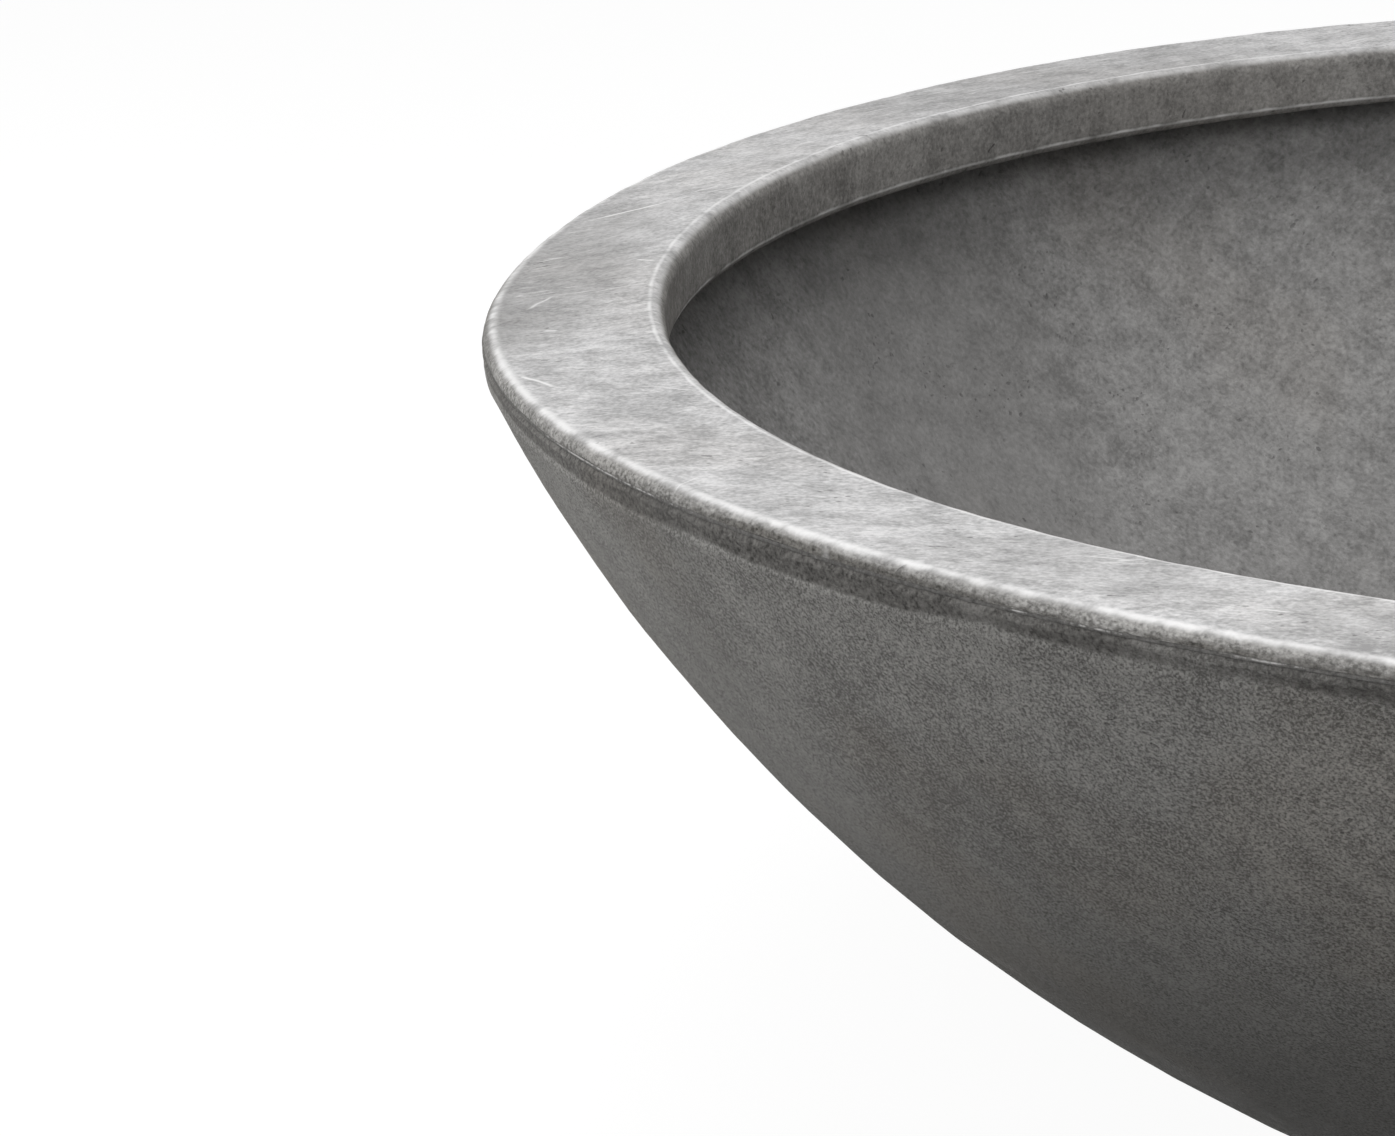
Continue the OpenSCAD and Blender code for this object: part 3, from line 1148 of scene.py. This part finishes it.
@dataclass
class MortarJoint:
    """The thin bead between the rim and the shell, which shows only here and there.

    shown holds the middle and half the length of each such stretch, in degrees, and how strongly
    it shows. The bead stands out there as far as raised says, and else lies back by sunk.
    """

    rim: Rim
    bulge: float = 0.15 * MM
    depth: float = 3 * MM
    front: float = 1 * MM
    sunk: float = 0.1 * MM
    rough: Lumps = Lumps(90.0, 3, 1.0)
    rough_by: float = 0.2 * MM
    raised: float = 0.25 * MM
    turns: int = 2160
    shown: tuple[Triple, ...] = (
        (20.0, 5.0, 0.8), (75.0, 7.0, 0.9), (150.0, 4.0, 0.7), (218.0, 8.0, 0.75),
        (241.6, 0.8, 0.65), (244.8, 1.6, 0.6), (250.4, 1.6, 0.75), (290.0, 6.0, 0.9),
    )

    def build(self) -> Object:
        """Sweeps the bead, standing proud in some places and sunk in others.

        Returns:
            The bead.
        """
        half = self.rim.mortar_t / 2
        bed_z = self.rim.bed_z - half
        out_r = self.rim.outer_r - self.rim.proud - self.bulge
        back_r = out_r - self.depth
        turns = np.radians(np.linspace(-90, 90, 7))
        nose = [(out_r + self.bulge * math.cos(a), bed_z + half * math.sin(a)) for a in turns]
        section = nose + [(back_r, bed_z + half), (back_r, bed_z - half)]
        angles = bearings(self.turns)
        radii, heights = self.rim.ring(section, angles)
        ring = np.stack([np.cos(angles), np.sin(angles), angles * 0], 1) * self.rim.outer_r
        turned = np.degrees(angles)
        stretches = [
            (1.4 - abs(turned - middle) / reach).clip(0, 1) * strength
            for middle, reach, strength in self.shown
        ]
        proud = np.max(stretches, axis=0)[:, None]
        rough = self.rough.at(ring)[:, None].clip(-1, 1)
        back = self.sunk + rough * self.rough_by - proud * self.raised
        front = (np.array(section)[:, 0] > out_r - self.front)[None, :]
        grid = swept(radii - back * front, heights, angles)
        bead = skin("mortar_bead", section, grid, {PROUD: proud * np.ones_like(radii)})
        bead.data.materials.append(MORTAR.material())
        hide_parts("joint_mortar")
        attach(bead, "planter")
        return bead


@dataclass
class Hoop:
    """The steel hoop in the joint, which is as much out of true as the rim that it ties."""

    rim: Rim
    rod_r: float = 3 * MM
    round_step: float = 0.8 * MM
    turns: int = 360

    def build(self) -> Object:
        """Sweeps the rod round the bowl.

        Returns:
            The hoop.
        """
        section = arc(self.rim.hoop_at, self.rod_r, 0, 345, self.round_step)
        angles = bearings(self.turns)
        hoop = skin("hoop_rod", section, swept(*self.rim.ring(section, angles), angles), {})
        hoop.data.materials.append(ZINC.material())
        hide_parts("rim_hoop")
        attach(hoop, "planter")
        return hoop


def dress(finishes: dict[str, PlainFinish]) -> None:
    """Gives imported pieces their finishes, and leaves their shapes as they are.

    Args:
        finishes: The finish of each node.
    """
    for node, finish in finishes.items():
        material = finish.material()
        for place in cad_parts[node].material_slots:
            place.material = material
        log.info("%s is dressed", node)


@dataclass(frozen=True)
class Lamp:
    """A square soft lamp, aimed at the bowl."""

    name: str
    place: Triple
    size: float
    power: float
    aim: Triple = (0.0, 0.0, 0.3)

    def hang(self) -> None:
        """Hangs the lamp."""
        light = bpy.data.lights.new(self.name, "AREA")
        light.shape = "SQUARE"
        light.size = self.size
        light.energy = self.power
        lamp = bpy.data.objects.new(self.name, light)
        bpy.context.scene.collection.objects.link(lamp)
        turn = (Vector(self.aim) - Vector(self.place)).to_track_quat("-Z", "Y")
        lamp.matrix_world = Matrix.Translation(self.place) @ turn.to_matrix().to_4x4()


@dataclass(frozen=True)
class Studio:
    """White floor, soft lamps and the camera that took the photograph."""

    floor_half: float = 14.0
    floor_z: float = -0.2 * MM
    white: Colour = (0.9, 0.9, 0.9)
    bounce: Colour = (0.12, 0.12, 0.12)
    glow: float = 1.1
    glow_share: float = 0.85
    sky: float = 0.06
    photo_width: int = 1395
    photo_focal: float = 5000.0
    sensor: float = 36.0
    eye: Triple = (0.0, -2.0842, 0.8570)
    yaw: float = 0.2502
    pitch: float = 0.2865
    roll: float = -0.0307
    lamps: tuple[Lamp, ...] = (
        Lamp("lamp_above", (-0.2, -0.3, 3.0), 2.6, 58.0),
        Lamp("lamp_near", (0.6, -1.3, 1.5), 0.8, 6.0),
        Lamp("lamp_left", (-3.0, 0.2, 0.7), 1.4, 36.0),
        Lamp("lamp_front", (0.0, -3.2, 1.8), 1.4, 31.0),
    )

    def floor(self) -> None:
        """Lays a floor that the camera sees as white and that keeps the bowl's shadow."""
        half = self.floor_half
        low = self.floor_z
        corners = [(-half, -half, low), (half, -half, low), (half, half, low), (-half, half, low)]
        mesh = bpy.data.meshes.new("floor")
        mesh.from_pydata(corners, [], [(0, 1, 2, 3)])
        floor = bpy.data.objects.new("floor", mesh)
        bpy.context.scene.collection.objects.link(floor)
        paint = Paint("floor_white")
        seen = paint.seen()
        paint.finish(paint.mix(seen, self.bounce, self.white), 0.9)
        glow = paint.node("Emission", None, {"Color": (1, 1, 1, 1), "Strength": self.glow})
        layers = {0: seen * self.glow_share, 1: paint.surface.outputs[0], 2: glow.outputs[0]}
        blend = paint.node("MixShader", None, layers)
        paint.feed(paint.tree.nodes["Material Output"].inputs[0], blend.outputs[0])
        floor.data.materials.append(paint.material)

    def world(self) -> None:
        """Lights the bowl from all sides, and shows white where the camera looks past the floor."""
        world = bpy.data.worlds.new("studio")
        bpy.context.scene.world = world
        air = Nodes(world)
        glow = air.tree.nodes["Background"]
        glow.inputs["Color"].default_value = (1, 1, 1, 1)
        air.feed(glow.inputs["Strength"], self.sky + air.seen() * (1 - self.sky))

    def camera(self) -> None:
        """Stands the camera where the photograph was taken from."""
        lens = bpy.data.cameras.new("camera")
        lens.sensor_width = self.sensor
        lens.lens = self.photo_focal / self.photo_width * self.sensor
        camera = bpy.data.objects.new("camera", lens)
        bpy.context.scene.collection.objects.link(camera)
        flat = math.cos(self.pitch)
        turn_x, turn_y = math.cos(self.yaw), math.sin(self.yaw)
        ahead = Vector((-turn_y * flat, turn_x * flat, -math.sin(self.pitch)))
        level = Vector((turn_x, turn_y, 0))
        up = level.cross(ahead)
        right = math.cos(self.roll) * level + math.sin(self.roll) * up
        above = right.cross(ahead)
        turn = Matrix((right, above, -ahead)).transposed()
        camera.matrix_world = Matrix.Translation(self.eye) @ turn.to_4x4()
        bpy.context.scene.camera = camera

    def build(self) -> None:
        """Sets up the floor, the light and the camera."""
        bpy.context.scene.view_settings.view_transform = "Standard"
        self.floor()
        self.world()
        for lamp in self.lamps:
            lamp.hang()
        self.camera()


WALL = Zone(
    dark=(0.2, 0.195, 0.186),
    pale=(0.58, 0.569, 0.547),
    stroke=Stroke.SLANTED,
    along=400.0,
    across=800.0,
    fineness=950.0,
    streaks=2.5,
    grain=2.5,
    relief=0.15 * MM,
    scratches=0.16,
)
# Painted shade: the top of the outer wall is darker just under the rim's overhang.
SHADED_WALL_TOP = replace(
    WALL,
    dark=(0.165, 0.161, 0.153),
    pale=(0.5, 0.49, 0.47),
    end=18 * MM,
    soft=6 * MM,
    wander=2 * MM,
)
# Painted shade: the dark band in the cove under the rim, laid where the stored depth says.
JOINT_SHADED_WALL = Zone(
    dark=(0.075, 0.072, 0.068),
    pale=(0.27, 0.262, 0.249),
    stroke=Stroke.UPRIGHT,
    along=620.0,
    across=380.0,
    fineness=600.0,
    streaks=2.0,
    grain=1.8,
    relief=0.25 * MM,
    stored=JOINT_SHADE,
)
OUTSIDE_CEMENT = CementFinish(
    name="outside_cement",
    zones=(WALL, SHADED_WALL_TOP, JOINT_SHADED_WALL),
    worn_and_highlight=(0.5, 0.495, 0.485),
    warm=(1.0, 0.95, 0.9),
    warmth=0.4,
    dark_patches=(
        DarkPatch((-0.56, -0.22), (0.12, 0.24), 0.25),
        DarkPatch((-0.455, -0.395), (0.05, 0.06), 0.25),
    ),
    # Painted shade: the outer wall darkens from just under the rim towards its foot.
    shade_by_run=(30 * MM, 300 * MM, 0.5),
)
INSIDE = Zone(
    dark=(0.17, 0.1675, 0.164),
    pale=(0.36, 0.355, 0.35),
    stroke=Stroke.SLANTED,
    along=110.0,
    across=300.0,
    fineness=420.0,
    streaks=1.3,
    grain=1.1,
    patches=1.4,
    relief=0.3 * MM,
    scratches=0.16,
)
INSIDE_CEMENT = CementFinish(
    name="inside_cement",
    zones=(INSIDE,),
    worn_and_highlight=(0.4, 0.398, 0.395),
    warm=(1.0, 0.96, 0.92),
    warmth=0.3,
    dark_patches=(DarkPatch((-0.46, 0.21), (0.09, 0.13), 0.45),),
)
# A darker copy of the rim top's cement: painted shade on the upright apron and the underside.
SHADED_APRON = Zone(
    dark=(0.155, 0.15, 0.143),
    pale=(0.35, 0.34, 0.326),
    stroke=Stroke.UPRIGHT,
    along=330.0,
    across=300.0,
    fineness=560.0,
    streaks=1.8,
    grain=1.2,
    patches=1.5,
    relief=0.25 * MM,
)
RIM_TOP = Zone(
    dark=(0.375, 0.372, 0.373),
    pale=(0.785, 0.778, 0.78),
    stroke=Stroke.DRAWN,
    start=5 * MM,
    end=76 * MM,
    soft=2.5 * MM,
    wander=0.8 * MM,
    along=180.0,
    across=320.0,
    fineness=480.0,
    streaks=1.45,
    grain=1.5,
    patches=1.6,
    relief=0.12 * MM,
)
# A darker copy of the rim top's cement: painted shade on the lower half of the rolled edge.
SHADED_RIM_EDGE = Zone(
    dark=(0.17, 0.166, 0.157),
    pale=(0.6, 0.588, 0.57),
    stroke=Stroke.UPRIGHT,
    end=4.5 * MM,
    soft=4 * MM,
    wander=1 * MM,
    along=700.0,
    across=380.0,
    fineness=560.0,
    streaks=1.8,
    grain=2.0,
    relief=0.2 * MM,
)
# The same painted shade, a little darker, on the lower half of the rim's rolled edge.
JOINT_SHADED_RIM = replace(JOINT_SHADED_WALL, dark=(0.07, 0.066, 0.06), pale=(0.27, 0.26, 0.243))
RIM_CEMENT = CementFinish(
    name="rim_cement",
    zones=(SHADED_APRON, RIM_TOP, SHADED_RIM_EDGE, JOINT_SHADED_RIM),
    worn_and_highlight=(0.9, 0.893, 0.89),
    warm=(1.0, 0.97, 0.94),
    warmth=0.2,
    # Pale bands on the rolled edge, lip and apron foot: partly wear, partly painted highlights.
    worn_and_lit_edges=(
        (7.3 * MM, 3.2 * MM, 0.8),
        (72.3 * MM, 1.5 * MM, 0.85),
        (76 * MM, 3 * MM, 0.35),
        (101.8 * MM, 1.3 * MM, 0.65),
    ),
    creases=(
        Crease((-0.587, 0.038), (-0.556, 0.066)),
        Crease((-0.566, -0.14), (-0.562, -0.117), strength=0.6),
        Crease((-0.538, -0.253), (-0.518, -0.271)),
        Crease((-0.482, -0.267), (-0.463, -0.271), 0.7 * MM),
        Crease((-0.542, -0.056), (-0.531, -0.061), strength=0.7),
        Crease((-0.549, -0.177), (-0.543, -0.1775), strength=0.7),
        Crease((-0.209, -0.533), (-0.198, -0.535), strength=0.7),
        Crease((-0.429, -0.402), (-0.4345, -0.416), 0.7 * MM, 0.7),
        Crease((-0.366, -0.477), (-0.3535, -0.4935), 1.2 * MM, 0.3),
        Crease((-0.213, -0.561), (-0.2085, -0.5675), 0.9 * MM, 0.35),
    ),
    dark_patches=(
        DarkPatch((-0.58, -0.1), (0.06, 0.2), 0.42),
        DarkPatch((-0.28, -0.49), (0.08, 0.05), 0.15),
        DarkPatch((-0.16, -0.55), (0.07, 0.06), 0.2),
        DarkPatch((-0.45, 0.36), (0.22, 0.16), 0.2),
    ),
    veins=0.6,
    clouds=0.5,
)
MORTAR = MortarFinish("mortar", (0.11, 0.107, 0.102), (0.34, 0.333, 0.322), (0.7, 0.69, 0.675))
ZINC = PlainFinish("zinc", (0.45, 0.47, 0.49), (0.66, 0.68, 0.7), 0.42, 160.0, 0.03 * MM, 1.0)
FITTINGS = {
    "drain_sleeve": PlainFinish(
        "pipe_plastic", (0.05, 0.055, 0.06), (0.085, 0.09, 0.095), 0.45, 120.0, 0.02 * MM
    ),
    "drain_plug": PlainFinish(
        "plug_rubber", (0.014, 0.014, 0.014), (0.035, 0.034, 0.033), 0.6, 140.0, 0.04 * MM
    ),
    "foot_pads": PlainFinish(
        "pad_rubber", (0.018, 0.018, 0.018), (0.04, 0.039, 0.038), 0.7, 140.0, 0.04 * MM
    ),
}


def main() -> None:
    """Builds the studio, then the castings and the fittings."""
    logging.basicConfig(level=logging.INFO, format="%(name)s: %(message)s")
    Studio().build()
    rim = Rim()
    works = [rim, Shell(rim), MortarJoint(rim), Hoop(rim)]
    for piece in [work.build() for work in works]:
        log.info("%s has %d faces", piece.name, len(piece.data.polygons))
    dress(FITTINGS)


if __name__ == "__main__":
    main()
